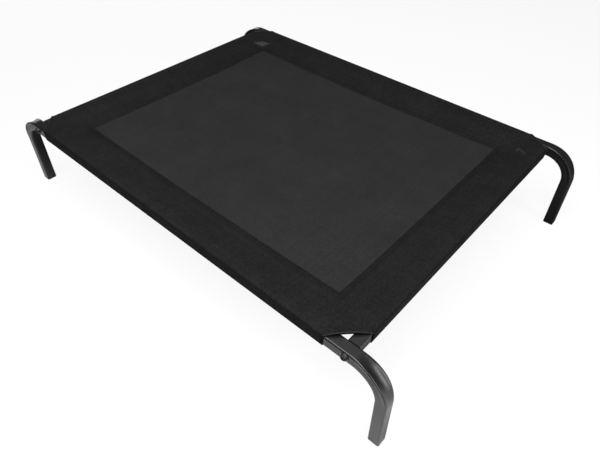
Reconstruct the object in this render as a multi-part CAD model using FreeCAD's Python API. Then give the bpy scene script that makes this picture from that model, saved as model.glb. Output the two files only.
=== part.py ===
import FreeCAD, Part
import math
import os

# Raised dog bed: a bolted frame of square steel tube with a mesh sling stretched over it.
# +X is the long way of the bed, +Y the short way, +Z is up, and the origin is the
# middle of the bed at floor level. Front is -Y, right is +X. Millimetres throughout.

# The sling, which sets the bed's length, width and height
sling_length = 1020.0      # over the two short hems
sling_width = 834.0        # over the two long hems
bed_height = 213.0         # floor to the cloth's top over the rails
cloth = 0.8                # one layer of mesh cloth
cloth_gap = 0.3            # between the cloth and the tube it wraps
window_inset = 105.0       # edge of the bed to the see-through window
window_drop = 20.0         # how far the window's edge hangs below the rails
middle_drop = 38.0         # how far the middle hangs below the rails
seam_width = 16.0          # strip where a hem is sewn to the panel
long_hem_inset = 56.0      # corner of the bed to the end of a long hem
short_hem_inset = 56.0     # corner of the bed to the end of a short hem
corner_rise = 3.0          # how deep the curved corner cut bows into the cloth
mitre_gap = 0.3            # between two hems where they meet at a corner

# Binding tape on the curved corner cuts
tape = 0.6
tape_width = 7.0
tape_gap = 0.2

# Square steel tube
tube = 25.0
tube_wall = 1.2
tube_corner = 3.5

# Legs, each bent from one length of tube
bend_radius = 68.0         # of the tube's middle line
leg_splay = 1.6            # degrees that a leg leans outwards
leg_reach = 160.0          # level run of the leg inside the long hem
dish_depth = 2.0           # how far the bend's outer wall is drawn in at its middle
dish_radius = 18.0         # of that hollow, across the tube

# Plug-in joint between leg and long rail
spigot_wall = 1.5
spigot_half = 45.0         # length on each side of the joint
slide_fit = 0.15           # each side, between a piece and the tube it sits in
butt_gap = 0.2             # between the ends of two tubes that meet

# Bolted joint between leg and short rail
bolt_size = 8.0
bolt_length = 45.0
bolt_clearance = 0.3       # radial, between the bolt and the leg's holes
thread_fit = 0.05          # radial, between the bolt and the insert's thread
head_width = 14.0
head_height = 4.4
head_rim = 0.8             # straight edge below the head's rounded side
crown_width = 7.0          # flat on the head's top, around the socket
head_bulge = 0.8           # how far the rounded side stands out from a straight cone
socket_width = 5.0         # across the flats
socket_depth = 2.6
washer_width = 17.0
washer_clearance = 0.2     # radial, between the bolt and the washer
washer_thickness = 1.6
insert_length = 26.0

# Foot plugs
plug_plate = 1.5           # closes the tube's end and rests on the floor
plug_depth = 18.0
plug_wall = 2.0

# Worked out from the values above
V = FreeCAD.Vector
middle = V(0, 0, 0)
x_way = V(1, 0, 0)
y_way = V(0, 1, 0)
z_way = V(0, 0, 1)
half_length = sling_length / 2
half_width = sling_width / 2
cloth_under = bed_height - cloth
tube_top = cloth_under - cloth_gap
tube_z = tube_top - tube / 2
edge_to_tube = cloth + cloth_gap
rail_x = half_length - edge_to_tube - tube / 2
rail_y = half_width - edge_to_tube - tube / 2
bore = tube - 2 * tube_wall
bore_corner = tube_corner - tube_wall
plug_size = bore - 2 * slide_fit
plug_corner = bore_corner - slide_fit
bend_x = half_length
bend_z = tube_z - bend_radius
bend_angle = 90.0 - leg_splay
joint_x = bend_x - leg_reach
leg_face = rail_y - tube / 2
# The cloth lies level in from its edge as far as the binding of the corner cuts reaches.
flat_rim = (long_hem_inset + short_hem_inset) / 4 + (corner_rise + tape_width) * math.sqrt(0.5)
corners = {
    "front_right": (1, -1),
    "front_left": (-1, -1),
    "back_right": (1, 1),
    "back_left": (-1, 1),
}


def rounded_square(size, radius):
    """A square face with round corners, across the X axis and centred on it."""
    half = size / 2
    flat = half - radius
    slant = flat + radius * math.sqrt(0.5)
    edges = []
    for quarter in range(4):
        turn = FreeCAD.Rotation(x_way, 90 * quarter)
        start, end, bend, last = [
            turn.multVec(point)
            for point in (V(0, -flat, -half), V(0, flat, -half), V(0, slant, -slant), V(0, half, -flat))
        ]
        edges.append(Part.makeLine(start, end))
        edges.append(Part.Arc(end, bend, last).toShape())
    return Part.Face(Part.Wire(edges))


def straight(size, radius, low, high):
    """A square bar along X from low to high, centred on the X axis."""
    face = rounded_square(size, radius)
    face.translate(V(low, 0, 0))
    return face.extrude(V(high - low, 0, 0))


def square_tube(size, radius, wall, low, high):
    """A square tube along X from low to high, centred on the X axis."""
    outside = straight(size, radius, low, high)
    return outside.cut(straight(size - 2 * wall, radius - wall, low, high))


def at_corner(shape, corner):
    """A piece built at the front right, mirrored to another corner."""
    end, side = corners[corner]
    if end < 0:
        shape = shape.mirror(middle, x_way)
    if side > 0:
        shape = shape.mirror(middle, y_way)
    return shape


def slab(low, high):
    """All the room between two heights, wider than the bed."""
    reach = sling_length + sling_width
    return Part.makeBox(2 * reach, 2 * reach, high - low, V(-reach, -reach, low))


def shank(size, radius):
    """The leg's straight lower run as a bar that passes through the floor, on the front right."""
    angle = math.radians(bend_angle)
    way = V(math.cos(angle), 0, -math.sin(angle))
    top = V(bend_x + bend_radius * math.sin(angle), -rail_y, bend_z + bend_radius * math.cos(angle))
    face = rounded_square(size, radius)
    face.rotate(middle, y_way, bend_angle)
    face.translate(top)
    return face.extrude(way * bed_height)


def leg_bar(size, radius, hollow_radius):
    """One solid bar along the whole leg, the bend's outer side drawn in by a ring-shaped hollow."""
    face = rounded_square(size, radius)
    face.translate(V(bend_x, -rail_y, tube_z))
    centre = V(bend_x, -rail_y, bend_z)
    level = face.extrude(V(-leg_reach, 0, 0))
    bend = face.revolve(centre, y_way, bend_angle)
    bar = level.fuse([bend, shank(size, radius)])
    # The ring's middle is moved away from the bend, so the hollow runs out at both ends of the bend.
    half_turn = math.radians(bend_angle / 2)
    offset = dish_depth / (1 - math.cos(half_turn))
    outward = V(math.sin(half_turn), 0, math.cos(half_turn))
    ring_radius = bend_radius + tube / 2 - dish_depth + offset + dish_radius
    ring = Part.makeTorus(ring_radius, hollow_radius, centre - outward * offset, y_way)
    quarter = Part.makeBox(
        bend_radius + tube, 2 * tube, bend_radius + tube, V(bend_x, -rail_y - tube, bend_z)
    )
    return bar.cut(ring.common(quarter))


def make_leg():
    """Level run, bend and lower run of one leg, with the bolt's two holes."""
    outside = leg_bar(tube, tube_corner, dish_radius)
    inside = leg_bar(bore, bore_corner, dish_radius + tube_wall)
    leg = outside.cut(inside).common(slab(plug_plate, bed_height))
    hole = Part.makeCylinder(
        bolt_size / 2 + bolt_clearance, 2 * tube, V(rail_x, -rail_y - tube, tube_z), y_way
    )
    return leg.cut(hole).removeSplitter()


def make_foot_plug():
    """A hollow plug in the tube's lower end, with a plate as wide as the tube."""
    plate = shank(tube, tube_corner).common(slab(0, plug_plate))
    body = shank(plug_size, plug_corner).common(slab(plug_plate, plug_plate + plug_depth))
    hollow = shank(plug_size - 2 * plug_wall, plug_corner / 2)
    hollow = hollow.common(slab(plug_plate + plug_wall, bed_height))
    return plate.fuse(body).cut(hollow).removeSplitter()


def make_long_rail():
    """Straight tube between the two legs of a long side."""
    end = joint_x - butt_gap / 2
    rail = square_tube(tube, tube_corner, tube_wall, -end, end)
    rail.translate(V(0, -rail_y, tube_z))
    return rail


def make_spigot():
    """Smaller tube fixed in a leg's level end, which plugs into the long rail."""
    spigot = square_tube(
        plug_size, plug_corner, spigot_wall, joint_x - spigot_half, joint_x + spigot_half
    )
    spigot.translate(V(0, -rail_y, tube_z))
    return spigot


def make_short_rail():
    """Straight tube between the inner faces of two legs."""
    end = leg_face - butt_gap
    rail = square_tube(tube, tube_corner, tube_wall, -end, end)
    rail.rotate(middle, z_way, 90)
    rail.translate(V(rail_x, 0, tube_z))
    return rail


def make_insert():
    """Threaded block in the end of a short rail, flush with it."""
    block = straight(plug_size, plug_corner, 0, insert_length)
    block.rotate(middle, z_way, 90)
    block.translate(V(rail_x, -leg_face + butt_gap, tube_z))
    thread = Part.makeCylinder(
        bolt_size / 2 + thread_fit, 2 * tube + insert_length, V(rail_x, -rail_y, tube_z), y_way
    )
    return block.cut(thread)


def make_bolt():
    """Round-headed hex-socket bolt, built along +Y with the head's underside at y = 0."""
    rim = V(head_width / 2, -head_rim, 0)
    crown = V(crown_width / 2, -head_height, 0)
    slope = crown - rim
    outward = V(-slope.y, slope.x, 0).normalize()
    shoulder = (rim + crown) * 0.5 + outward * head_bulge
    outline = Part.Wire([
        Part.makeLine(middle, V(head_width / 2, 0, 0)),
        Part.makeLine(V(head_width / 2, 0, 0), rim),
        Part.Arc(rim, shoulder, crown).toShape(),
        Part.makeLine(crown, V(0, -head_height, 0)),
        Part.makeLine(V(0, -head_height, 0), middle),
    ])
    head = Part.Face(outline).revolve(middle, y_way, 360)
    shaft = Part.makeCylinder(bolt_size / 2, bolt_length, middle, y_way)
    reach = socket_width / math.sqrt(3)
    points = [
        V(reach * math.cos(math.radians(60 * n)), -head_height, reach * math.sin(math.radians(60 * n)))
        for n in range(7)
    ]
    socket = Part.Face(Part.makePolygon(points)).extrude(V(0, socket_depth, 0))
    bolt = head.fuse(shaft).cut(socket).removeSplitter()
    bolt.translate(V(rail_x, -rail_y - tube / 2 - washer_thickness, tube_z))
    return bolt


def make_washer():
    """Flat washer between the bolt's head and the leg."""
    start = V(rail_x, -rail_y - tube / 2 - washer_thickness, tube_z)
    disc = Part.makeCylinder(washer_width / 2, washer_thickness, start, y_way)
    hole = Part.makeCylinder(bolt_size / 2 + washer_clearance, washer_thickness, start, y_way)
    return disc.cut(hole)


def corner_cut():
    """Start, middle, end and centre of the front right corner's curved cut, and its radius."""
    start = V(half_length - long_hem_inset, -half_width, 0)
    end = V(half_length, -half_width + short_hem_inset, 0)
    chord = end - start
    inward = V(-chord.y, chord.x, 0)
    inward.normalize()
    half_chord = (start + end) * 0.5
    radius = (chord.Length ** 2 / 4 + corner_rise ** 2) / (2 * corner_rise)
    bow = half_chord + inward * corner_rise
    return start, bow, end, bow - inward * radius, radius


def rectangle(inset, drop):
    """Corners of a level rectangle inset from the sling's edges, from the front left round."""
    x = half_length - inset
    y = half_width - inset
    z = bed_height - drop
    return [V(-x, -y, z), V(x, -y, z), V(x, y, z), V(-x, y, z)]


def cloth_face(points):
    """One flat field of the panel."""
    return Part.Face(Part.makePolygon(points + points[:1]))


def make_panel():
    """The top sheet: level rim with four curved corner cuts, sloping border and dished window."""
    start, bow, end = corner_cut()[:3]
    flips = [V(-1, 1, 1), V(1, 1, 1), V(1, -1, 1), V(-1, -1, 1)]
    cuts = []
    for number, flip in enumerate(flips):
        points = [V(p.x * flip.x, p.y * flip.y, bed_height) for p in (start, bow, end)]
        if number % 2 == 0:
            points.reverse()
        cuts.append(points)
    edges = []
    for number, points in enumerate(cuts):
        following = cuts[(number + 1) % 4]
        edges.append(Part.Arc(*points).toShape())
        edges.append(Part.makeLine(points[2], following[0]))
    rim_inside = rectangle(flat_rim, 0)
    rim = Part.Face(Part.Wire(edges)).cut(cloth_face(rim_inside))
    window = rectangle(window_inset, window_drop)
    ridge = half_length - half_width
    low = bed_height - middle_drop
    left, right = V(-ridge, 0, low), V(ridge, 0, low)
    fields = rim.Faces
    for n in range(4):
        m = (n + 1) % 4
        fields.append(cloth_face([rim_inside[n], rim_inside[m], window[m], window[n]]))
    fields.append(cloth_face([window[0], window[1], right, left]))
    fields.append(cloth_face([window[1], window[2], right]))
    fields.append(cloth_face([window[2], window[3], left, right]))
    fields.append(cloth_face([window[3], window[0], left]))
    layers = [field.extrude(V(0, 0, -cloth)) for field in fields]
    return layers[0].fuse(layers[1:]).removeSplitter()


def panel_under(inset):
    """Height of the panel's underside on its sloping border."""
    slope = window_drop / (window_inset - flat_rim)
    return cloth_under - (inset - flat_rim) * slope


def make_hem(half_edge, half_run):
    """A hem on the front side: down the outside of the tube, under it and up to its seam on the panel.

    half_edge is from the bed's middle to this edge, half_run is half the hem's length.
    """
    inner_x = edge_to_tube + tube + cloth_gap
    bottom = tube_top - tube - cloth_gap
    seam_start = window_inset - seam_width
    inside = [
        (cloth, cloth_under),
        (cloth, bottom),
        (inner_x, bottom),
        (seam_start, panel_under(seam_start)),
        (window_inset, panel_under(window_inset)),
    ]
    outside = [
        (window_inset, panel_under(window_inset) - cloth),
        (seam_start, panel_under(seam_start) - cloth),
        (inner_x, bottom - cloth),
        (0, bottom - cloth),
        (0, cloth_under),
    ]
    points = [V(-half_run, -half_edge + inset, z) for inset, z in inside + outside]
    hem = Part.Face(Part.makePolygon(points + points[:1])).extrude(V(2 * half_run, 0, 0))
    return hem


def mitred(hem, half_edge, half_other):
    """The hem of the front side, cut back at both ends along 45 degree lines from the corners."""
    wide = half_other - mitre_gap / 2
    narrow = wide - window_inset
    inner_y = -half_edge + window_inset
    points = [V(-wide, -half_edge, 0), V(wide, -half_edge, 0), V(narrow, inner_y, 0), V(-narrow, inner_y, 0)]
    return hem.common(Part.Face(Part.makePolygon(points + points[:1])).extrude(V(0, 0, bed_height)))


def make_long_hem():
    """The front hem."""
    return mitred(make_hem(half_width, half_length - long_hem_inset), half_width, half_length)


def make_short_hem():
    """The right hem, built as a front one and turned a quarter."""
    hem = mitred(make_hem(half_length, half_width - short_hem_inset), half_length, half_width)
    hem.rotate(middle, z_way, 90)
    return hem


def make_binding():
    """Tape along the curved cut of the front right corner, turned down over the cloth's edge."""
    centre, radius = corner_cut()[3:]
    web_low = bed_height - cloth

    def ring(inner, outer, low, high):
        place = V(centre.x, centre.y, low)
        return Part.makeCylinder(outer, high - low, place).cut(Part.makeCylinder(inner, high - low, place))

    top = ring(radius - tape_gap - tape, radius + tape_width, bed_height, bed_height + tape)
    web = ring(radius - tape_gap - tape, radius - tape_gap, web_low, bed_height)
    bed_area = Part.makeBox(
        half_length, half_width, bed_height, V(0, -half_width, tube_top)
    )
    return top.fuse(web).removeSplitter().common(bed_area)


def save(shape, node):
    """Write one piece, which has to be one closed solid, to its own file."""
    solids = shape.Solids
    if len(solids) != 1 or not solids[0].isValid():
        raise ValueError(f"{node} is {len(solids)} solids or isn't valid")
    solids[0].exportStep(os.path.join("parts", node + ".step"))
    box = shape.BoundBox
    print(f"{node}: {shape.Volume / 1000:.1f} cm3, z {box.ZMin:.1f} to {box.ZMax:.1f}")


os.makedirs("parts", exist_ok=True)
corner_pieces = {
    "leg": make_leg(),
    "foot_plug": make_foot_plug(),
    "spigot": make_spigot(),
    "threaded_insert": make_insert(),
    "bolt": make_bolt(),
    "washer": make_washer(),
    "corner_binding": make_binding(),
}
for name, piece in corner_pieces.items():
    for corner in corners:
        save(at_corner(piece, corner), f"{name}_{corner}")

save(make_long_rail(), "long_rail_front")
save(make_long_rail().mirror(middle, y_way), "long_rail_back")
save(make_short_rail(), "short_rail_right")
save(make_short_rail().mirror(middle, x_way), "short_rail_left")
save(make_panel(), "mesh_panel")
save(make_long_hem(), "hem_front")
save(make_long_hem().mirror(middle, y_way), "hem_back")
save(make_short_hem(), "hem_right")
save(make_short_hem().mirror(middle, x_way), "hem_left")
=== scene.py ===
import math
import random

import bmesh
import bpy
from mathutils import Matrix, Vector, noise


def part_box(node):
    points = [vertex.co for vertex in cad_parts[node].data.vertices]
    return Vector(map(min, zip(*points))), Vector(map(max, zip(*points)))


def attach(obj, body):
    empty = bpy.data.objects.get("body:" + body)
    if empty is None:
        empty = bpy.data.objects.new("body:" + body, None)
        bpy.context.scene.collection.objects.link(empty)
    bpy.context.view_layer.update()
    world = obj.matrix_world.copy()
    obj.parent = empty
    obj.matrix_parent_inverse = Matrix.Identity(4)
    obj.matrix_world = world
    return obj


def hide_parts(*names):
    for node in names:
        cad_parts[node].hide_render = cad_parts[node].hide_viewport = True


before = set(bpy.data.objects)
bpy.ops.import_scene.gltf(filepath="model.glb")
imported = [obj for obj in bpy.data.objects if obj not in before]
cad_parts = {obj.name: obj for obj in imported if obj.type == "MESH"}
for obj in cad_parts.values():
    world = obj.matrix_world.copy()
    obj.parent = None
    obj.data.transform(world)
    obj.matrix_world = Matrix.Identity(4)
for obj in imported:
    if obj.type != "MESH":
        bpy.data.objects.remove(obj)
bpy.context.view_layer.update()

# A raised dog bed: a mesh sling, hemmed on four sides, over a frame of black square tube
# whose long sides bend down into the legs. Metres, +X along the bed, +Y across it, +Z up.

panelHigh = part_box("mesh_panel")[1]
railLow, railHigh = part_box("long_rail_front")
hemLow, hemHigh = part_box("hem_front")
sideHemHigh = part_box("hem_right")[1]
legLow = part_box("leg_front_right")[0]

halfSize = (panelHigh.x, panelHigh.y)              # the sling's half length and half width
hemRun = (hemHigh.x, sideHemHigh.y)                # half the run of a long hem and of a short one
slingTop = panelHigh.z
hemBottom = hemLow.z
tubeSize = railHigh.z - railLow.z
tubeMid = (railHigh.z + railLow.z) / 2
tubeY = -(railLow.y + railHigh.y) / 2              # the long rails' middle line, from the bed's middle
corners = {"front_right": (1, -1), "front_left": (-1, -1), "back_right": (1, 1), "back_left": (-1, 1)}


def clamp(value, low=0.0, high=1.0):
    return max(low, min(high, value))


def newPiece(name, bm, materials, nodes=()):
    mesh = bpy.data.meshes.new(name)
    for face in bm.faces:
        face.smooth = True
    bm.to_mesh(mesh)
    bm.free()
    piece = bpy.data.objects.new(name, mesh)
    bpy.context.scene.collection.objects.link(piece)
    for material in materials:
        mesh.materials.append(material)
    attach(piece, "root")
    if nodes:
        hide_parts(*nodes)
    return piece


def addSolidify(piece, thickness, offset=-1.0):
    wall = piece.modifiers.new("wall", "SOLIDIFY")
    wall.thickness = thickness
    wall.offset = offset
    wall.use_even_offset = True
    wall.use_quality_normals = True
    return wall


# Shader helpers, then the effects that several finishes share

def newGroup(name, inputs, outputs):
    group = bpy.data.node_groups.new(name, "ShaderNodeTree")
    for socketName, kind, default in inputs:
        socket = group.interface.new_socket(name=socketName, in_out="INPUT", socket_type=kind)
        if default is not None:
            socket.default_value = default
    for socketName in outputs:
        group.interface.new_socket(name=socketName, in_out="OUTPUT", socket_type="NodeSocketFloat")
    return group, group.nodes.new("NodeGroupInput"), group.nodes.new("NodeGroupOutput")


def mathNode(tree, operation, *values, limit=False):
    node = tree.nodes.new("ShaderNodeMath")
    node.operation = operation
    node.use_clamp = limit
    for socket, value in zip(node.inputs, values):
        if isinstance(value, (int, float)):
            socket.default_value = value
        else:
            tree.links.new(value, socket)
    return node.outputs[0]


def noiseNode(tree, vector, scale, detail=2.0, roughness=0.5):
    node = tree.nodes.new("ShaderNodeTexNoise")
    node.inputs["Scale"].default_value = scale
    node.inputs["Detail"].default_value = detail
    node.inputs["Roughness"].default_value = roughness
    tree.links.new(vector, node.inputs["Vector"])
    return node.outputs["Fac"]


def randomValue(tree, value, dimensions):
    node = tree.nodes.new("ShaderNodeTexWhiteNoise")
    node.noise_dimensions = dimensions
    tree.links.new(value, node.inputs["W" if dimensions == "1D" else "Vector"])
    return node.outputs["Value"]


def mixColour(tree, factor, first, second):
    node = tree.nodes.new("ShaderNodeMix")
    node.data_type = "RGBA"
    for socket, value in ((node.inputs[0], factor), (node.inputs[6], first), (node.inputs[7], second)):
        if isinstance(value, tuple):
            socket.default_value = (*value, 1.0)
        else:
            tree.links.new(value, socket)
    return node.outputs[2]


def splitVector(tree, vector):
    node = tree.nodes.new("ShaderNodeSeparateXYZ")
    tree.links.new(vector, node.inputs[0])
    return node.outputs


weaveTones = {
    "crossing": 1.3,           # how far one crossing's own tone counts
    "yarn": 0.45,              # and the own tone of each of its two yarns
    "crest": 1.1,              # light gained from the valley between two yarns to a yarn's crest
    "valley": -0.1,
    "open": 0.05,              # yarns lower than this leave a hole
}


def makeWeaveGroup():
    # Two sets of round coated yarns that pass over and under each other, with open holes between.
    group, start, end = newGroup(
        "meshWeave",
        [("Vector", "NodeSocketVector", None), ("Pitch", "NodeSocketFloat", 0.002),
         ("Yarn", "NodeSocketFloat", 0.8), ("Variation", "NodeSocketFloat", 0.0)],
        ["Height", "Hole", "Shade"],
    )
    parts = splitVector(group, start.outputs["Vector"])
    cells = []
    ridges = []
    for axis in range(2):
        scaled = mathNode(group, "DIVIDE", parts[axis], start.outputs["Pitch"])
        cells.append(mathNode(group, "FLOOR", scaled))
        middle = mathNode(group, "SUBTRACT", mathNode(group, "FRACT", scaled), 0.5)
        across = mathNode(group, "DIVIDE", mathNode(group, "MULTIPLY", middle, 2.0), start.outputs["Yarn"])
        rest = mathNode(group, "SUBTRACT", 1.0, mathNode(group, "MULTIPLY", across, across), limit=True)
        ridges.append(mathNode(group, "SQRT", rest))
    # Which yarn lies on top changes from cell to cell.
    turn = mathNode(group, "PINGPONG", mathNode(group, "ADD", *cells), 1.0)
    over = mathNode(group, "MULTIPLY", ridges[0], mathNode(group, "MULTIPLY_ADD", turn, 0.5, 0.5))
    under = mathNode(group, "MULTIPLY", ridges[1], mathNode(group, "MULTIPLY_ADD", turn, -0.5, 1.0))
    height = mathNode(group, "MAXIMUM", over, under)
    hole = mathNode(group, "LESS_THAN", mathNode(group, "MAXIMUM", *ridges), weaveTones["open"])
    # No two yarns take the light alike, and neither do two crossings.
    cell = group.nodes.new("ShaderNodeCombineXYZ")
    group.links.new(cells[0], cell.inputs[0])
    group.links.new(cells[1], cell.inputs[1])
    crossing = randomValue(group, cell.outputs[0], "3D")
    yarns = mathNode(group, "ADD", *(randomValue(group, number, "1D") for number in cells))
    mean = weaveTones["crossing"] / 2 + weaveTones["yarn"]
    mixed = mathNode(group, "MULTIPLY_ADD", yarns, weaveTones["yarn"], -mean)
    mixed = mathNode(group, "MULTIPLY_ADD", crossing, weaveTones["crossing"], mixed)
    varied = mathNode(group, "MULTIPLY_ADD", mixed, start.outputs["Variation"], 1.0)
    # Painted shade: the colour is darker in the valleys between yarns and lighter on their crests.
    paintedReliefShade = mathNode(group, "MULTIPLY_ADD", height, weaveTones["crest"], weaveTones["valley"], limit=True)
    shade = mathNode(group, "MULTIPLY", paintedReliefShade, varied)
    group.links.new(height, end.inputs["Height"])
    group.links.new(hole, end.inputs["Hole"])
    group.links.new(shade, end.inputs["Shade"])
    return group


peelTones = {"cloudScale": 14.0, "cloudChange": 0.14}      # size and strength of the change in gloss


def makePeelGroup():
    # Fine orange peel of a baked coat, and the soft cloudy change in its gloss.
    group, start, end = newGroup(
        "coatPeel",
        [("Vector", "NodeSocketVector", None), ("Scale", "NodeSocketFloat", 900.0),
         ("Roughness", "NodeSocketFloat", 0.35)],
        ["Height", "Roughness"],
    )
    fine = group.nodes.new("ShaderNodeTexNoise")
    group.links.new(start.outputs["Vector"], fine.inputs["Vector"])
    group.links.new(start.outputs["Scale"], fine.inputs["Scale"])
    cloudy = noiseNode(group, start.outputs["Vector"], peelTones["cloudScale"])
    change = mathNode(group, "MULTIPLY_ADD", cloudy, peelTones["cloudChange"], -peelTones["cloudChange"] / 2)
    gloss = mathNode(group, "ADD", start.outputs["Roughness"], change, limit=True)
    group.links.new(fine.outputs["Fac"], end.inputs["Height"])
    group.links.new(gloss, end.inputs["Roughness"])
    return group


dustShape = {
    "hazeScale": 26.0,
    "speckScale": 620.0,
    "hazeStart": 0.45,         # noise above this is haze
    "hazeGain": 1.6,
    "speckStart": 0.68,        # and above this a speck
    "speckGain": 6.0,
}
dustColour = (0.16, 0.155, 0.15)


def makeDustGroup():
    # Sparse pale specks and lint that settle on dark surfaces.
    group, start, end = newGroup(
        "fineDust",
        [("Vector", "NodeSocketVector", None), ("Amount", "NodeSocketFloat", 0.1)],
        ["Mask"],
    )
    cloud = noiseNode(group, start.outputs["Vector"], dustShape["hazeScale"], detail=5.0, roughness=0.65)
    speck = noiseNode(group, start.outputs["Vector"], dustShape["speckScale"], detail=1.0)
    haze = mathNode(group, "SUBTRACT", cloud, dustShape["hazeStart"], limit=True)
    haze = mathNode(group, "MULTIPLY", haze, dustShape["hazeGain"])
    spots = mathNode(group, "SUBTRACT", speck, dustShape["speckStart"], limit=True)
    spots = mathNode(group, "MULTIPLY", spots, dustShape["speckGain"])
    both = mathNode(group, "ADD", haze, mathNode(group, "MULTIPLY", spots, cloud))
    mask = mathNode(group, "MULTIPLY", both, start.outputs["Amount"], limit=True)
    group.links.new(mask, end.inputs["Mask"])
    return group


weaveGroup = makeWeaveGroup()
peelGroup = makePeelGroup()
dustGroup = makeDustGroup()


def newMaterial(name):
    material = bpy.data.materials.new(name)
    material.use_nodes = True
    return material, material.node_tree, material.node_tree.nodes["Principled BSDF"]


def useGroup(tree, group, vector, **values):
    node = tree.nodes.new("ShaderNodeGroup")
    node.node_tree = group
    tree.links.new(vector, node.inputs["Vector"])
    for key, value in values.items():
        node.inputs[key].default_value = value
    return node


def addBump(tree, shader, height, distance):
    bump = tree.nodes.new("ShaderNodeBump")
    bump.inputs["Distance"].default_value = distance
    tree.links.new(height, bump.inputs["Height"])
    tree.links.new(bump.outputs["Normal"], shader.inputs["Normal"])


coatLooks = {
    "powderCoat": {"colour": (0.0055, 0.0055, 0.006), "roughness": 0.32, "peel": 700.0, "depth": 0.00006,
                   "metal": 0.0, "dust": 0.03},
    "footPlastic": {"colour": (0.008, 0.008, 0.0085), "roughness": 0.55, "peel": 1500.0, "depth": 0.00004,
                    "metal": 0.0, "dust": 0.04},
    "boltSteel": {"colour": (0.010, 0.010, 0.011), "roughness": 0.6, "peel": 1200.0, "depth": 0.00002,
                  "metal": 0.2, "dust": 0.05},
    "washerSteel": {"colour": (0.16, 0.16, 0.165), "roughness": 0.33, "peel": 1200.0, "depth": 0.00002,
                    "metal": 0.9, "dust": 0.05},
    "zincSteel": {"colour": (0.5, 0.51, 0.53), "roughness": 0.4, "peel": 600.0, "depth": 0.00003,
                  "metal": 1.0, "dust": 0.05},
}


coatTones = {"dark": 0.8, "light": 1.25, "cloudScale": 22.0, "index": 1.5}     # shared by all coats


def makeCoat(name, look):
    material, tree, shader = newMaterial(name)
    place = tree.nodes.new("ShaderNodeTexCoord").outputs["Object"]
    peel = useGroup(tree, peelGroup, place, Scale=look["peel"], Roughness=look["roughness"])
    tree.links.new(peel.outputs["Roughness"], shader.inputs["Roughness"])
    dark, light = (tuple(coatTones[key] * c for c in look["colour"]) for key in ("dark", "light"))
    tint = mixColour(tree, noiseNode(tree, place, coatTones["cloudScale"], detail=3.0), dark, light)
    dust = useGroup(tree, dustGroup, place, Amount=look["dust"]).outputs["Mask"]
    tree.links.new(mixColour(tree, dust, tint, dustColour), shader.inputs["Base Color"])
    shader.inputs["Metallic"].default_value = look["metal"]
    shader.inputs["IOR"].default_value = coatTones["index"]
    addBump(tree, shader, peel.outputs["Height"], look["depth"])
    return material


coats = {name: makeCoat(name, look) for name, look in coatLooks.items()}

clothLook = {
    "window": (0.0300, 0.0300, 0.0306),        # open single layer; its grey is the cloth's own, lightened in part as painted show-through light
    "border": (0.0168, 0.0168, 0.0177),        # doubled by the hem's flap
    "seam": (0.0146, 0.0146, 0.0153),
    "paintedShowThroughGrey": (0.066, 0.066, 0.069),          # painted show-through light: a lighter grey where the flaps of two hems leave one layer
    "markEdge": 3.0,                           # how sharply such a place ends
    "pitch": 0.0021,
    "yarn": 0.80,                              # a yarn's width as a share of the pitch
    "variation": (0.20, 0.45),                 # between crossings, in the window and in the border
    "cloudScale": 9.0,
    "cloudChange": 0.5,
    "dust": 0.03,
    "paintedFoldShade": 0.5,                          # painted shade: a darker line where the cloth turns over the tube's edge
    "paintedFoldWidth": 0.0035,
    "paintedFoldPlace": 0.001,                        # in from the edge of the bed
    "roughness": 0.8,
    "specular": 0.05,
    "depth": 0.0004,
    "closed": (0.30, 0.42),                    # holes shut below the first slant, open past the second
}
slingShape = {
    "windowInset": 0.105,      # edge of the bed to the window
    "seamWidth": 0.016,
    "loopDrop": 0.014,         # the hem's loop pulls the window's edge down this far
    "middleDrop": 0.024,       # and the middle hangs this much further
    "thickness": 0.0008,
    "edgeRadius": 0.0046,      # of the cloth round the tube's corners
    "windowStep": 0.0075,
    "borderStep": 0.0052,
    "crease": 0.0005,
    "creaseScales": (9.0, 24.0),      # of the broad and the fine waves in the cloth
    "creaseSeeds": (3.7, 8.1),
    "flapGap": 0.0003,         # between the two layers of the border
    "mitreRun": 0.07,          # length at each end of a flap that is drawn in to the mitre
    "liftRun": 0.035,          # how far in from a corner cut the cloth is lifted
    "liftAlong": 0.8,          # powers by which the lift fades along the cut and away from it
    "liftInward": 2,
}
sleeveSteps = {"turn": 3, "side": 6, "under": 3, "flap": 7, "seam": 3}     # rows of faces in each part
onLine = 1e-5              # a point this near to a line lies on it
# How the sling has settled at each corner: how far its two hems run past their nominal ends,
# how deep the cut between them bows in, and how far the middle of the cut stands up.
settled = {
    "front_right": {"long": -0.005, "short": -0.006, "rise": 0.0012, "lift": 0.006},
    "front_left": {"long": 0.004, "short": 0.004, "rise": 0.0008, "lift": 0.002},
    "back_right": {"long": -0.002, "short": 0.012, "rise": 0.0006, "lift": 0.003},
    "back_left": {"long": 0.006, "short": -0.002, "rise": 0.0015, "lift": 0.002},
}
# Patches of painted show-through light, where the two flaps of a corner leave one layer: place, half size
# and turn of each patch, and how light it is
paintedShowThroughPatches = [
    {"x": -0.434, "y": 0.335, "long": 0.030, "wide": 0.017, "turn": 0.72, "light": 1.0},
    {"x": 0.456, "y": 0.333, "long": 0.013, "wide": 0.0042, "turn": 1.71, "light": 0.5},
    {"x": 0.467, "y": 0.331, "long": 0.019, "wide": 0.0046, "turn": -0.74, "light": 0.5},
    {"x": -0.431, "y": -0.372, "long": 0.016, "wide": 0.0035, "turn": 1.6, "light": 0.35},
]
windowEdge = [half - slingShape["windowInset"] for half in halfSize]
railReach = halfSize[1] + railHigh.y + 0.0006       # edge of the bed to the tubes' inner side
edgeLine = [half - slingShape["edgeRadius"] for half in halfSize]


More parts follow.
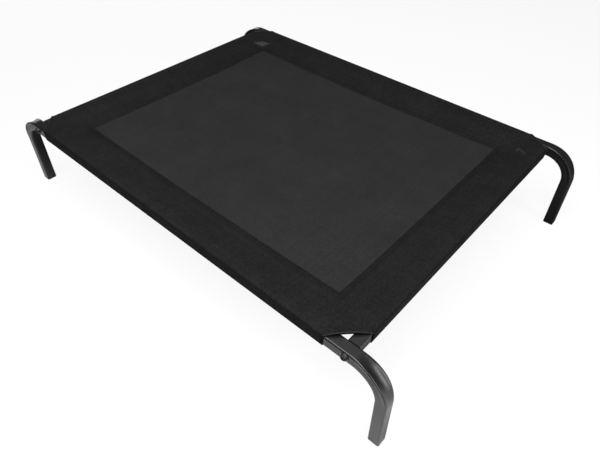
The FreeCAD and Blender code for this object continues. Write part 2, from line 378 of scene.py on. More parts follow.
def makeClothMaterial():
    material, tree, shader = newMaterial("slingMesh")
    place = tree.nodes.new("ShaderNodeUVMap")
    place.uv_map = "cloth"
    flat = place.outputs["UV"]
    weave = useGroup(tree, weaveGroup, flat, Pitch=clothLook["pitch"], Yarn=clothLook["yarn"])
    parts = splitVector(tree, flat)
    beyondX = mathNode(tree, "SUBTRACT", mathNode(tree, "ABSOLUTE", parts[0]), windowEdge[0])
    beyondY = mathNode(tree, "SUBTRACT", mathNode(tree, "ABSOLUTE", parts[1]), windowEdge[1])
    beyond = mathNode(tree, "MAXIMUM", beyondX, beyondY)
    border = mathNode(tree, "GREATER_THAN", beyond, 0.0)
    calm, lively = clothLook["variation"]
    tree.links.new(mathNode(tree, "MULTIPLY_ADD", border, lively - calm, calm), weave.inputs["Variation"])
    seam = mathNode(tree, "MULTIPLY", border, mathNode(tree, "LESS_THAN", beyond, slingShape["seamWidth"]))
    grey = mixColour(tree, border, clothLook["window"], clothLook["border"])
    grey = mixColour(tree, seam, grey, clothLook["seam"])
    # Painted show-through light: the colour is lightened in patches near the corners, where one layer lets
    # the floor's light through.
    for mark in paintedShowThroughPatches:
        turned = tree.nodes.new("ShaderNodeMapping")
        turned.vector_type = "TEXTURE"
        turned.inputs["Location"].default_value = (mark["x"], mark["y"], 0)
        turned.inputs["Rotation"].default_value = (0, 0, mark["turn"])
        turned.inputs["Scale"].default_value = (mark["long"], mark["wide"], 1)
        tree.links.new(flat, turned.inputs["Vector"])
        sides = splitVector(tree, turned.outputs[0])
        reach = mathNode(tree, "ADD", *(mathNode(tree, "ABSOLUTE", side) for side in sides[:2]))
        inside = mathNode(tree, "SUBTRACT", 1.0, reach)
        inside = mathNode(tree, "MULTIPLY", inside, clothLook["markEdge"], limit=True)
        inside = mathNode(tree, "MULTIPLY", inside, mark["light"])
        grey = mixColour(tree, inside, grey, clothLook["paintedShowThroughGrey"])
    # Painted shade: the colour is darkened along a line just in from the bed's edge, where the cloth turns
    # over the tube.
    paintedFoldPlace = slingShape["windowInset"] - clothLook["paintedFoldPlace"]
    fromFold = mathNode(tree, "ABSOLUTE", mathNode(tree, "SUBTRACT", beyond, paintedFoldPlace))
    fromFold = mathNode(tree, "DIVIDE", fromFold, clothLook["paintedFoldWidth"])
    nearFold = mathNode(tree, "SUBTRACT", 1.0, fromFold, limit=True)
    paintedFoldDarkening = mathNode(tree, "MULTIPLY_ADD", nearFold, -clothLook["paintedFoldShade"], 1.0)
    cloudy = noiseNode(tree, flat, clothLook["cloudScale"], detail=4.0, roughness=0.6)
    change = clothLook["cloudChange"]
    cloudy = mathNode(tree, "MULTIPLY_ADD", cloudy, change, 1.0 - change / 2)
    shade = mathNode(tree, "MULTIPLY", weave.outputs["Shade"], cloudy)
    shade = mathNode(tree, "MULTIPLY", shade, paintedFoldDarkening)
    tint = tree.nodes.new("ShaderNodeVectorMath")
    tint.operation = "SCALE"
    tree.links.new(grey, tint.inputs[0])
    tree.links.new(shade, tint.inputs["Scale"])
    dust = useGroup(tree, dustGroup, flat, Amount=clothLook["dust"]).outputs["Mask"]
    tree.links.new(mixColour(tree, dust, tint.outputs[0], dustColour), shader.inputs["Base Color"])
    # Seen from low down, the yarns close the holes.
    slant = tree.nodes.new("ShaderNodeLayerWeight")
    slant.inputs["Blend"].default_value = 0.5
    seenOpen = tree.nodes.new("ShaderNodeMapRange")
    seenOpen.inputs["From Min"].default_value, seenOpen.inputs["From Max"].default_value = clothLook["closed"]
    tree.links.new(mathNode(tree, "SUBTRACT", 1.0, slant.outputs["Facing"]), seenOpen.inputs["Value"])
    openShare = mathNode(tree, "MULTIPLY", weave.outputs["Hole"], mathNode(tree, "SUBTRACT", 1.0, border))
    openShare = mathNode(tree, "MULTIPLY", openShare, seenOpen.outputs["Result"])
    tree.links.new(mathNode(tree, "SUBTRACT", 1.0, openShare), shader.inputs["Alpha"])
    shader.inputs["Roughness"].default_value = clothLook["roughness"]
    shader.inputs["Specular IOR Level"].default_value = clothLook["specular"]
    addBump(tree, shader, weave.outputs["Height"], clothLook["depth"])
    return material


tapeLooks = {
    "bindingTape": {"grey": 0.0035, "ribs": 0.0011},
    "sewingThread": {"grey": 0.014, "ribs": 0.0005},
    # the edge thread's pale grey is a painted highlight along the cut edge
    "paintedGlintThread": {"grey": 0.07, "ribs": 0.0009},
}
tapeFinish = {"deep": 0.5, "roughness": 0.8, "specular": 0.06, "depth": 0.0002}     # shared by all three


def makeTapeMaterial(name, look):
    # Narrow woven tape or thread with fine ribs.
    material, tree, shader = newMaterial(name)
    place = tree.nodes.new("ShaderNodeTexCoord").outputs["Object"]
    weave = useGroup(tree, weaveGroup, place, Pitch=look["ribs"], Yarn=1.0)
    # Painted shade: the colour darkens in the grooves between the ribs.
    deep = tapeFinish["deep"] * look["grey"]
    tint = mixColour(tree, weave.outputs["Shade"], (deep,) * 3, (look["grey"],) * 3)
    tree.links.new(tint, shader.inputs["Base Color"])
    shader.inputs["Roughness"].default_value = tapeFinish["roughness"]
    shader.inputs["Specular IOR Level"].default_value = tapeFinish["specular"]
    addBump(tree, shader, weave.outputs["Height"], tapeFinish["depth"])
    return material


clothMaterial = makeClothMaterial()
tapes = {name: makeTapeMaterial(name, look) for name, look in tapeLooks.items()}
print("materials ready")


def cornerName(signX, signY):
    return next(name for name, signs in corners.items() if signs == (signX, signY))


def hemEnd(corner, axis):
    # Where the long hem (axis 0) or the short one (axis 1) ends at a corner, from the bed's middle.
    return hemRun[axis] + settled[corner][("long", "short")[axis]]


def cornerCut(corner):
    # Centre and radius of the curved cut at one corner, and its two ends.
    signs = Vector(corners[corner])
    start = Vector((hemEnd(corner, 0), halfSize[1]))
    finish = Vector((halfSize[0], hemEnd(corner, 1)))
    chord = finish - start
    outward = Vector((-chord.y, chord.x)).normalized()
    rise = settled[corner]["rise"]
    radius = (chord.length ** 2 / 4 + rise ** 2) / (2 * rise)
    centre = (start + finish) / 2 + outward * (radius - rise)
    return centre * signs, radius, start * signs, finish * signs


def besideCut(cut, x, y):
    # Distance in from a corner cut, and 0 to 1 for how near to the middle of its run.
    centre, radius, start, finish = cut
    spot = Vector((x, y))
    along = (spot - start).dot((finish - start).normalized()) / (finish - start).length
    return (spot - centre).length - radius, math.sin(math.pi * clamp(along))


cuts = {corner: cornerCut(corner) for corner in corners}


def cornerLift(x, y):
    # The cloth stands up a little along the middle of each cut.
    corner = cornerName(1 if x > 0 else -1, 1 if y > 0 else -1)
    inward, middle = besideCut(cuts[corner], x, y)
    near = 1 - clamp(inward / slingShape["liftRun"])
    return settled[corner]["lift"] * middle ** slingShape["liftAlong"] * near ** slingShape["liftInward"]


def slingDrop(x, y):
    # How far the top of the cloth hangs below the rails at a place.
    run = slingShape["windowInset"] - railReach
    inX = clamp((halfSize[0] - abs(x) - railReach) / run)
    inY = clamp((halfSize[1] - abs(y) - railReach) / run)
    loop = 1 - min(1.0, ((1 - inX) ** 3 + (1 - inY) ** 3) ** (1 / 3))
    domeX = clamp(1 - (x / (halfSize[0] - railReach)) ** 2)
    domeY = clamp(1 - (y / (halfSize[1] - railReach)) ** 2)
    broad, fine = (
        noise.noise(Vector((x * scale, y * scale, seed)))
        for scale, seed in zip(slingShape["creaseScales"], slingShape["creaseSeeds"])
    )
    ripple = broad + 0.5 * fine
    hang = slingShape["loopDrop"] * loop + slingShape["middleDrop"] * domeX * domeY
    return hang + 2 * slingShape["crease"] * ripple * loop - cornerLift(x, y)


def gridLines(keys, steps):
    # Places of the grid's lines from one side to the other, with a line at each key.
    lines = [0.0]
    for key, step in zip(keys, steps):
        start = lines[-1]
        count = max(1, round((key - start) / step))
        lines += [start + (key - start) * n / count for n in range(1, count + 1)]
    return [-value for value in reversed(lines[1:])] + lines


def roundCorner(bm, corner):
    # Takes the cloth outside the curved cut away and draws the new rim onto the curve.
    centre, radius = cuts[corner][:2]
    gone = {f for f in bm.faces if (f.calc_center_median().xy - centre).length < radius}
    rim = {v for f in gone for v in f.verts if any(g not in gone for g in v.link_faces)}
    bmesh.ops.delete(bm, geom=list(gone), context="FACES")
    for v in rim:
        for axis in range(2):
            if abs(abs(v.co[axis]) - edgeLine[axis]) < onLine:
                along = 1 - axis
                rest = math.sqrt(radius ** 2 - (v.co[axis] - centre[axis]) ** 2)
                v.co[along] = centre[along] - math.copysign(rest, centre[along])
                break
        else:
            v.co.xy = centre + (v.co.xy - centre).normalized() * radius


def sleeveProfile():
    # (inset, height) of the cloth down the outside of a tube and under it, after the top's edge.
    radius = slingShape["edgeRadius"]
    turnSteps, sideSteps, underSteps = (sleeveSteps[key] for key in ("turn", "side", "under"))
    turns = [math.radians(90 * n / turnSteps) for n in range(1, turnSteps + 1)]
    points = [(radius * (1 - math.sin(turn)), slingTop - radius * (1 - math.cos(turn))) for turn in turns]
    straight = slingTop - hemBottom - 2 * radius
    points += [(0.0, slingTop - radius - straight * n / sideSteps) for n in range(1, sideSteps + 1)]
    points += [(radius * (1 - math.cos(turn)), hemBottom + radius * (1 - math.sin(turn))) for turn in turns]
    points += [(radius + (railReach - radius) * n / underSteps, hemBottom) for n in range(1, underSteps + 1)]
    return points


def flapHeight(axis, sign, along, inset):
    # The flap lies under the panel at the seam and runs straight from there to the tube's underside.
    seamStart = slingShape["windowInset"] - slingShape["seamWidth"]
    place = [0.0, 0.0]
    place[axis] = sign * (halfSize[axis] - max(inset, seamStart))
    place[along[0]] = along[1]
    sewn = slingTop - slingDrop(*place) - 2 * slingShape["thickness"] - slingShape["flapGap"]
    share = clamp((inset - railReach) / (seamStart - railReach))
    return hemBottom + share * (sewn - hemBottom)


def wrapHem(bm, axis, sign, alongLayer, flatLayer):
    # One sleeve and its flap, row by row from the top's edge; gives the unrolled length from the middle.
    along = 1 - axis
    ends = {}
    for side in (-1, 1):
        signs = (sign, side) if axis == 0 else (side, sign)
        ends[side] = hemEnd(cornerName(*signs), along)
    edges = [
        e for e in bm.edges
        if e.is_boundary and all(abs(v.co[axis] * sign - edgeLine[axis]) < onLine for v in e.verts)
    ]
    seamStart = slingShape["windowInset"] - slingShape["seamWidth"]
    steps = sleeveProfile()
    flapSteps, seamSteps = sleeveSteps["flap"], sleeveSteps["seam"]
    steps += [(railReach + (seamStart - railReach) * n / flapSteps, None) for n in range(1, flapSteps + 1)]
    steps += [(seamStart + slingShape["seamWidth"] * n / seamSteps, None) for n in range(1, seamSteps + 1)]
    length = edgeLine[axis]
    last = (slingShape["edgeRadius"], slingTop)
    for inset, height in steps:
        made = bmesh.ops.extrude_edge_only(bm, edges=edges)["geom"]
        verts = {g for g in made if isinstance(g, bmesh.types.BMVert)}
        edges = [g for g in made if isinstance(g, bmesh.types.BMEdge) and all(v in verts for v in g.verts)]
        mitre = halfSize[along] - inset - slingShape["flapGap"]
        middleHeight = height if height is not None else flapHeight(axis, sign, (along, 0.0), inset)
        length += math.hypot(inset - last[0], middleHeight - last[1])
        last = (inset, middleHeight)
        for v in verts:
            end = ends[1 if v[alongLayer] > 0 else -1]
            limit = min(end, mitre)
            place = min(abs(v[alongLayer]), end)
            drawn = end - slingShape["mitreRun"]
            if place > drawn:
                place = drawn + (place - drawn) * (limit - drawn) / slingShape["mitreRun"]
            place = math.copysign(place, v[alongLayer])
            v.co[along] = place
            v.co[axis] = sign * (halfSize[axis] - inset)
            v.co.z = height if height is not None else flapHeight(axis, sign, (along, place), inset)
            flat = [0.0, 0.0, 0.0]
            flat[along] = place
            flat[axis] = sign * length
            v[flatLayer] = flat
    return length


def makeSling():
    step = slingShape["borderStep"]
    linesFor = []
    for axis in range(2):
        edge = windowEdge[axis]
        keys = (edge, edge + slingShape["seamWidth"], halfSize[axis] - railReach, edgeLine[axis])
        linesFor.append(gridLines(keys, (slingShape["windowStep"], step, step, step)))
    bm = bmesh.new()
    bmesh.ops.create_grid(bm, x_segments=len(linesFor[0]) - 1, y_segments=len(linesFor[1]) - 1, size=1.0)
    for v in bm.verts:
        for axis in range(2):
            lines = linesFor[axis]
            v.co[axis] = lines[round((v.co[axis] + 1) / 2 * (len(lines) - 1))]
    for corner in corners:
        roundCorner(bm, corner)
    flatLayer = bm.verts.layers.float_vector.new("flat")
    alongLayer = bm.verts.layers.float.new("along")
    for v in bm.verts:
        v[flatLayer] = (v.co.x, v.co.y, 0)
        v.co.z = slingTop - slingDrop(v.co.x, v.co.y)
    reach = []
    for axis in (1, 0):
        for v in bm.verts:
            v[alongLayer] = v.co[1 - axis]
        for sign in (-1, 1):
            reach.append(wrapHem(bm, axis, sign, alongLayer, flatLayer))
    bmesh.ops.recalc_face_normals(bm, faces=bm.faces)
    if max(bm.faces, key=lambda f: f.calc_area()).normal.z < 0:
        bmesh.ops.reverse_faces(bm, faces=bm.faces)
    uv = bm.loops.layers.uv.new("cloth")
    for face in bm.faces:
        for loop in face.loops:
            loop[uv].uv = loop.vert[flatLayer].xy
    area = sum(f.calc_area() for f in bm.faces)
    size = (2 * max(reach[:2]), 2 * max(reach[2:]))      # across the bed and along it, before sewing
    nodes = ("mesh_panel", "hem_front", "hem_back", "hem_right", "hem_left")
    piece = newPiece("slingCloth", bm, [clothMaterial], nodes)
    addSolidify(piece, slingShape["thickness"])
    return piece, size, area


sling, clothSize, clothArea = makeSling()
print("sling made", [round(value, 3) for value in clothSize], round(clothArea, 3))

bindingShape = {
    "margin": 0.0012,          # on top of the cloth, in from its cut edge
    "under": 0.007,            # and under it
    "overhang": 0.0010,        # how far it stands out past the edge
    "droop": 0.0022,           # how far its fold hangs at the middle of the cut
    "thickness": 0.0005,
    "lift": 0.0001,
    "steps": 26,
    "bead": 0.00042,           # half the width of the thread along its inner margin, pale as a painted highlight
    "beadSides": 6,
    "beadFlat": 0.7,           # the thread's height as a share of its width
    "foldRound": 0.8,          # how far out the fold's two rounded edges reach
    "tuck": 0.001,             # where the lower side turns up towards the cloth
    "tuckDroop": 0.9,
}


def spinAlongCut(corner, section):
    # Spins a section of (in from the edge, height, share of the droop) along a corner's cut.
    centre, radius, start, finish = cuts[corner]
    way = (start - centre).normalized()
    bm = bmesh.new()
    droops = bm.verts.layers.float.new("droop")
    verts = []
    for inward, height, share in section:
        v = bm.verts.new((*(centre + way * (radius + inward)), slingTop + height))
        v[droops] = share
        verts.append(v)
    pairs = list(zip(verts, verts[1:]))
    if section[0] == section[-1]:
        bmesh.ops.remove_doubles(bm, verts=verts, dist=1e-6)
        verts = bm.verts[:]
        pairs = list(zip(verts, verts[1:] + verts[:1]))
    edges = [bm.edges.new(pair) for pair in pairs]
    angle = -(start - centre).angle_signed(finish - centre)
    bmesh.ops.spin(bm, geom=verts + edges, cent=(*centre, 0), axis=(0, 0, 1), angle=angle,
                   steps=bindingShape["steps"], use_merge=False, use_duplicate=False)
    signs = corners[corner]
    for v in bm.verts:
        middle = besideCut(cuts[corner], v.co.x, v.co.y)[1]
        v.co.z -= slingDrop(v.co.x, v.co.y) + v[droops] * bindingShape["droop"] * middle
        for axis in range(2):
            v.co[axis] = signs[axis] * min(abs(v.co[axis]), halfSize[axis])
    bmesh.ops.recalc_face_normals(bm, faces=bm.faces)
    return bm


def makeBinding(corner):
    # Tape folded round the cloth's edge, standing out past it and drooping a little.
    top = bindingShape["lift"]
    bottom = -slingShape["thickness"] - bindingShape["lift"]
    out = -bindingShape["overhang"]
    rounded = out * bindingShape["foldRound"]
    section = [
        (bindingShape["margin"], top, 0.0),
        (0.0, top, 0.0),
        (rounded, top * 0.4, 0.0),
        (out, (top + bottom) / 2, 0.5),
        (rounded, bottom, 1.0),
        (bindingShape["tuck"], bottom, bindingShape["tuckDroop"]),
        (bindingShape["under"], bottom, 0.0),
    ]
    bm = spinAlongCut(corner, section)
    upper = max(bm.faces, key=lambda f: f.calc_center_median().z)
    if upper.normal.z < 0:
        bmesh.ops.reverse_faces(bm, faces=bm.faces)
    nodes = [f"corner_binding_{corner}"]
    piece = newPiece(f"cornerTape_{corner}", bm, [tapes["bindingTape"]], nodes)
    addSolidify(piece, bindingShape["thickness"], 1.0).use_even_offset = False
    return piece


def makeBead(corner):
    # The row of thread that holds the tape, a low bead along the edge of the cloth, coloured pale as a
    # painted highlight on the cut edge.
    size = bindingShape["bead"]
    base = bindingShape["lift"] + bindingShape["thickness"]
    sides = bindingShape["beadSides"]
    section = []
    for n in range(sides + 1):
        turn = math.tau * (n % sides) / sides
        height = base + size * bindingShape["beadFlat"] * math.sin(turn)
        section.append((size * (1.0 + math.cos(turn)), height, 0.0))
    bm = spinAlongCut(corner, section)
    return newPiece(f"paintedGlintBead_{corner}", bm, [tapes["paintedGlintThread"]])


bindings = [makeBinding(corner) for corner in corners] + [makeBead(corner) for corner in corners]
print("corner bindings made", len(bindings))

endTapeShape = {
    "width": 0.0045,
    "proud": 0.0004,           # how far the tape stands off the sleeve
    "thickness": 0.0005,
    "start": 0.012,            # in from the bed's edge, on top
    "past": 0.0006,            # how far it stands past the sleeve's end
}


def makeEndTapes():
    # A narrow tape round the open end of each sleeve, down its outside and under the tube.
    bm = bmesh.new()
    profile = [(endTapeShape["start"], slingTop), (slingShape["edgeRadius"], slingTop)] + sleeveProfile()
    for corner, signs in corners.items():
        for axis in range(2):
            along = 1 - axis
            end = hemEnd(corner, along) + endTapeShape["past"]
            verts = []
            for inset, height in profile:
                place = [0.0, 0.0]
                place[along] = signs[along] * end
                place[axis] = signs[axis] * (halfSize[axis] - inset)
                verts.append(bm.verts.new((*place, height)))
            edges = [bm.edges.new(pair) for pair in zip(verts, verts[1:])]
            made = bmesh.ops.extrude_edge_only(bm, edges=edges)["geom"]
            far = [g for g in made if isinstance(g, bmesh.types.BMVert)]
            back = [0.0, 0.0, 0.0]
            back[along] = -signs[along] * endTapeShape["width"]
            bmesh.ops.translate(bm, verts=far, vec=back)
            faces = {f for v in far for f in v.link_faces}
            level = max(faces, key=lambda f: f.calc_center_median().z)
            if level.normal.z < 0:
                bmesh.ops.reverse_faces(bm, faces=list(faces))
    for v in bm.verts:
        v.normal_update()
    for v in bm.verts:
        v.co += v.normal * endTapeShape["proud"]
    piece = newPiece("sleeveEndTapes", bm, [tapes["bindingTape"]])
    addSolidify(piece, endTapeShape["thickness"], 1.0).use_even_offset = False
    return piece


endTapes = makeEndTapes()
print("sleeve end tapes made")

stitchShape = {
    "length": 0.0042,
    "pitch": 0.0052,
    "thread": 0.00045,
    "flat": 0.7,               # a stitch's height as a share of its width
    "rows": (0.003, 0.013),    # out from the window's edge
    "lean": 0.00012,           # how far a stitch's ends wander off the row
    "reach": 0.4,              # from a stitch's middle to the points it is laid through, in pitches
    "proud": 0.0001,
    "seed": 11,
}


def addStitch(bm, place, along):
    made = bmesh.ops.create_icosphere(bm, subdivisions=1, radius=1.0)["verts"]
    wide = stitchShape["thread"]
    size = Matrix.Diagonal((stitchShape["length"] / 2, wide, wide * stitchShape["flat"], 1))
    turn = along.to_track_quat("X", "Z").to_matrix().to_4x4()
    bmesh.ops.transform(bm, verts=made, matrix=Matrix.Translation(place) @ turn @ size)


def makeStitches():
    # Two rows of lock stitches round the window, through panel and flap.
    bm = bmesh.new()
    random.seed(stitchShape["seed"])
    for row in stitchShape["rows"]:
        edge = [w + row for w in windowEdge]
        for along in range(2):
            axis = 1 - along
            count = round(2 * edge[along] / stitchShape["pitch"])
            for sign in (-1, 1):
                for n in range(count):
                    ends = []
                    for shift in (-stitchShape["reach"], stitchShape["reach"]):
                        spot = [0.0, 0.0]
                        spot[along] = edge[along] * (2 * (n + 0.5 + shift) / count - 1)
                        spot[axis] = sign * edge[axis] + random.uniform(-1, 1) * stitchShape["lean"]
                        ends.append(Vector((*spot, slingTop - slingDrop(*spot) + stitchShape["proud"])))
                    addStitch(bm, (ends[0] + ends[1]) / 2, ends[1] - ends[0])
    return newPiece("windowStitches", bm, [tapes["sewingThread"]])


stitches = makeStitches()
print("stitches made")

legShape = {
    "bendRadius": 0.068,       # of the tube's middle line
    "corner": 0.0035,
    "splay": math.radians(1.6),
    "wall": 0.0012,
    "dish": 0.0040,            # how far the bend's outer wall is drawn in
    "pinch": 0.0042,           # how far its side walls lean in at the outer wall
    "bulge": 0.0006,           # and how far they swell further in
    "foot": legLow.z,          # height of the tube's cut end, on top of the foot plug's plate
    "cornerSteps": 5,
    "sideCuts": 7,
    "levelSteps": 10,
    "bendSteps": 30,
    "lowerSteps": 8,
    "bendFade": 1.3,           # power by which the bend's changes fade towards its two ends
    "pinchFade": 1.3,          # and the lean of its side walls towards the inner wall
}


def makeLeg(corner):
    # One tube: level run, bend and lower run, built at the front right and mirrored into place.
    signX, signY = corners[corner]
    half = tubeSize / 2
    bendX = halfSize[0]
    bendZ = tubeMid - legShape["bendRadius"]
    angle = math.pi / 2 - legShape["splay"]
    bm = bmesh.new()
    ring = bmesh.ops.create_circle(bm, segments=4, radius=half * math.sqrt(2), cap_ends=False)["verts"]
    bmesh.ops.rotate(bm, verts=ring, matrix=Matrix.Rotation(math.pi / 4, 3, "Z"))
    bmesh.ops.rotate(bm, verts=ring, matrix=Matrix.Rotation(math.pi / 2, 3, "Y"))
    bmesh.ops.bevel(bm, geom=bm.verts[:], offset=legShape["corner"], segments=legShape["cornerSteps"],
                    profile=0.5, material=-1,
                    affect="VERTICES", offset_type="OFFSET")
    longEdges = [e for e in bm.edges if e.calc_length() > half]
    bmesh.ops.subdivide_edges(bm, edges=longEdges, cuts=legShape["sideCuts"], use_grid_fill=False)
    bmesh.ops.translate(bm, verts=bm.verts[:], vec=(legLow.x, -tubeY, tubeMid))
    edges = bm.edges[:]

    def extend(vector, count):
        nonlocal edges
        for _ in range(count):
            made = bmesh.ops.extrude_edge_only(bm, edges=edges)["geom"]
            verts = [g for g in made if isinstance(g, bmesh.types.BMVert)]
            bmesh.ops.translate(bm, verts=verts, vec=vector)
            found = set(verts)
            edges = [g for g in made if isinstance(g, bmesh.types.BMEdge) and found.issuperset(g.verts)]

    levelSteps, lowerSteps = legShape["levelSteps"], legShape["lowerSteps"]
    extend(Vector(((bendX - legLow.x) / levelSteps, 0, 0)), levelSteps)
    tips = list({v for e in edges for v in e.verts})
    made = bmesh.ops.spin(bm, geom=tips + edges, cent=(bendX, -tubeY, bendZ), axis=(0, 1, 0), angle=angle,
                          steps=legShape["bendSteps"], use_merge=False, use_duplicate=False)["geom_last"]
    edges = [g for g in made if isinstance(g, bmesh.types.BMEdge)]
    way = Vector((math.cos(angle), 0, -math.sin(angle)))
    bendFoot = bendZ + legShape["bendRadius"] * math.cos(angle)
    lowerRun = (bendFoot - legShape["foot"]) / math.sin(angle)
    extend(way * (lowerRun / lowerSteps), lowerSteps)
    for v in {v for e in edges for v in e.verts}:
        v.co += way * ((legShape["foot"] - v.co.z) / way.z)
    for v in bm.verts:
        fromAxis = Vector((v.co.x - bendX, v.co.z - bendZ))
        turned = math.atan2(fromAxis.x, fromAxis.y)
        if fromAxis.x <= 0 or not 0 < turned < angle:
            continue
        weight = math.sin(math.pi * turned / angle) ** legShape["bendFade"]
        out = (fromAxis.length - legShape["bendRadius"]) / half
        side = (v.co.y + tubeY) / half
        # The powers keep each change near the middle of its own wall, or near the corner it belongs to.
        shift = -legShape["dish"] * weight * clamp(out) ** 4 * (1 - clamp(abs(side)) ** 2.5)
        shift += legShape["dish"] * 0.3 * weight * clamp(-out) ** 4 * (1 - clamp(abs(side)) ** 2)
        v.co.x += fromAxis.normalized().x * shift
        v.co.z += fromAxis.normalized().y * shift
        swell = legShape["bulge"] * (1 - clamp(abs(out)) ** 2)
        swell -= legShape["pinch"] * clamp(out) ** legShape["pinchFade"]
        v.co.y += math.copysign(swell * weight * abs(side) ** 6, side)
    bmesh.ops.scale(bm, verts=bm.verts[:], vec=(signX, -signY, 1))
    bmesh.ops.recalc_face_normals(bm, faces=bm.faces)
    # The highest face at the level run's end has to look up.
    middles = {f: f.calc_center_median() for f in bm.faces}
    upper = min(bm.faces, key=lambda f: abs(middles[f].x - signX * legLow.x) - middles[f].z)
    if upper.normal.z < 0:
        bmesh.ops.reverse_faces(bm, faces=bm.faces)
    piece = newPiece(f"bentLeg_{corner}", bm, [coats["powderCoat"]], [f"leg_{corner}"])
    addSolidify(piece, legShape["wall"])
    weighted = piece.modifiers.new("evenShading", "WEIGHTED_NORMAL")
    weighted.keep_sharp = False
    return piece


legs = [makeLeg(corner) for corner in corners]
print("legs made", len(legs))

nodeCoats = {
    "long_rail": "powderCoat", "short_rail": "powderCoat", "foot_plug": "footPlastic", "bolt": "boltSteel",
    "washer": "washerSteel", "spigot": "zincSteel", "threaded_insert": "zincSteel",
}
for nodeName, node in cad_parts.items():
    for start, coat in nodeCoats.items():
        if nodeName.startswith(start):
            node.data.materials.clear()
            node.data.materials.append(coats[coat])
print("frame parts coated")

studio = {
    "floorSize": 12.0,
    "floorParts": 24,
    "floorGrey": 0.88,
    "floorGrain": 0.99,        # tone of the paper's darker clouds
    "floorClouds": 3.0,
    "floorRoughness": 0.9,
    "floorSpecular": 0.1,
    "paintedLitBounce": 0.70,         # painted light: the grey that the floor in front and at the right gives back to the bed
    "paintedShadeBounce": 0.09,        # painted shade: and the grey of the floor under it, behind it and far in front
    "frontFade": (-0.64, -0.52),      # where each painted lit strip begins and ends
    "backFade": (-0.34, -0.42),
    "rightFade": (0.58, 0.63),
    "rightEnd": (0.35, 0.10),
    "floorLift": 0.88,         # how much of the paper's white the shadows don't reach
    "skyLevel": 0.10,
    "backdrop": 0.95,          # the pale wall that is seen behind the floor
}
# Soft boxes: place, the point each is turned to, size and power
softBoxes = {
    "keyBox": {"place": (0.38, -0.95, 1.95), "aim": (0.1, -0.1, 0.2), "size": (2.0, 1.7), "power": 68.0},
    "sideCard": {"place": (2.6, 0.05, 1.1), "aim": (0.5, -0.3, 0.2), "size": (0.7, 2.2), "power": 42.0},
    "topBox": {"place": (0.0, 0.75, 2.2), "aim": (0.4, -0.3, 0.2), "size": (1.3, 1.3), "power": 4.0},
    "backCard": {"place": (-2.5, 1.0, 0.22), "aim": (-0.4, 0.0, 0.2), "size": (2.2, 0.42), "power": 8.0},
}


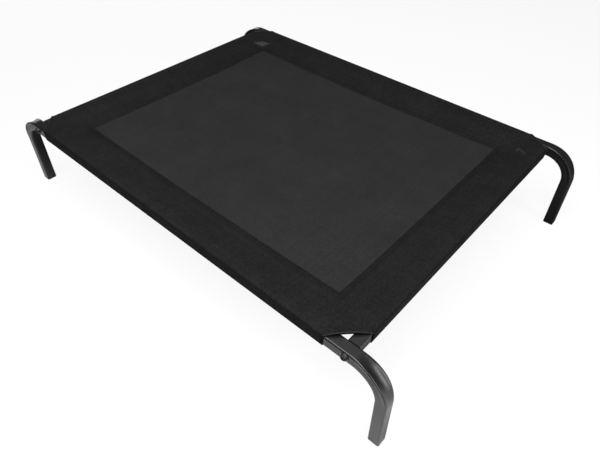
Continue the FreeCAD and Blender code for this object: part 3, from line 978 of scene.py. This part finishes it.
def makeFloor():
    bm = bmesh.new()
    parts = studio["floorParts"]
    bmesh.ops.create_grid(bm, x_segments=parts, y_segments=parts, size=studio["floorSize"] / 2)
    mesh = bpy.data.meshes.new("studioFloor")
    bm.to_mesh(mesh)
    bm.free()
    floor = bpy.data.objects.new("studioFloor", mesh)
    bpy.context.scene.collection.objects.link(floor)
    material, tree, shader = newMaterial("floorPaper")
    place = tree.nodes.new("ShaderNodeTexCoord").outputs["Object"]
    grey = studio["floorGrey"]
    clouds = noiseNode(tree, place, studio["floorClouds"])
    paper = mixColour(tree, clouds, (grey * studio["floorGrain"],) * 3, (grey,) * 3)
    seen = tree.nodes.new("ShaderNodeLightPath").outputs["Is Camera Ray"]
    # Painted light and shade: for all but camera rays the floor's grey is lighter in strips in front of and
    # right of the bed, and darker elsewhere.
    sides = splitVector(tree, place)
    fades = {}
    for key, axis in (("frontFade", 1), ("backFade", 1), ("rightFade", 0), ("rightEnd", 1)):
        ramp = tree.nodes.new("ShaderNodeMapRange")
        ramp.inputs["From Min"].default_value, ramp.inputs["From Max"].default_value = studio[key]
        tree.links.new(sides[axis], ramp.inputs["Value"])
        fades[key] = ramp.outputs["Result"]
    right = mathNode(tree, "MULTIPLY", fades["rightFade"], fades["rightEnd"])
    strips = mathNode(tree, "MAXIMUM", fades["backFade"], right)
    strips = mathNode(tree, "MULTIPLY", strips, fades["frontFade"])
    paintedBounce = mixColour(tree, strips, *((studio[key],) * 3 for key in ("paintedShadeBounce", "paintedLitBounce")))
    tint = mixColour(tree, seen, paintedBounce, paper)
    lift = mathNode(tree, "MULTIPLY", seen, studio["floorLift"])
    shade = mixColour(tree, lift, tint, (0.0, 0.0, 0.0))
    tree.links.new(shade, shader.inputs["Base Color"])
    shader.inputs["Emission Color"].default_value = (1, 1, 1, 1)
    tree.links.new(lift, shader.inputs["Emission Strength"])
    shader.inputs["Roughness"].default_value = studio["floorRoughness"]
    shader.inputs["Specular IOR Level"].default_value = studio["floorSpecular"]
    mesh.materials.append(material)


def makeLights():
    world = bpy.data.worlds.new("studioAir")
    world.use_nodes = True
    tree = world.node_tree
    air = tree.nodes["Background"]
    air.inputs["Color"].default_value = (1, 1, 1, 1)
    seen = tree.nodes.new("ShaderNodeLightPath").outputs["Is Camera Ray"]
    sky = studio["skyLevel"]
    level = mathNode(tree, "MULTIPLY_ADD", seen, studio["backdrop"] - sky, sky)
    tree.links.new(level, air.inputs["Strength"])
    bpy.context.scene.world = world
    for name, box in softBoxes.items():
        light = bpy.data.lights.new(name, "AREA")
        light.energy = box["power"]
        light.shape = "RECTANGLE"
        light.size, light.size_y = box["size"]
        lamp = bpy.data.objects.new(name, light)
        lamp.location = box["place"]
        lamp.rotation_euler = (Vector(box["aim"]) - lamp.location).to_track_quat("-Z", "Y").to_euler()
        bpy.context.scene.collection.objects.link(lamp)


makeFloor()
makeLights()
bpy.context.scene.view_settings.view_transform = "Standard"
print("studio ready")

cameraPlace = {
    "location": (0.7405, -0.8205, 0.9373),
    "heading": math.radians(130.608),      # from +X, anticlockwise
    "down": math.radians(44.347),
    "roll": math.radians(1.2988),
    "lens": 30.74,
}


def makeCamera():
    heading, down, roll = (cameraPlace[key] for key in ("heading", "down", "roll"))
    ahead = Vector((math.cos(heading), math.sin(heading), 0))
    forward = math.cos(down) * ahead - Vector((0, 0, math.sin(down)))
    level = Vector((math.sin(heading), -math.cos(heading), 0))
    above = level.cross(forward)
    right = math.cos(roll) * level + math.sin(roll) * above
    up = math.cos(roll) * above - math.sin(roll) * level
    data = bpy.data.cameras.new("studioCamera")
    data.lens = cameraPlace["lens"]
    data.sensor_width = 36.0
    camera = bpy.data.objects.new("studioCamera", data)
    turn = Matrix((right, up, -forward)).transposed().to_4x4()
    camera.matrix_world = Matrix.Translation(cameraPlace["location"]) @ turn
    bpy.context.scene.collection.objects.link(camera)
    bpy.context.scene.camera = camera


makeCamera()
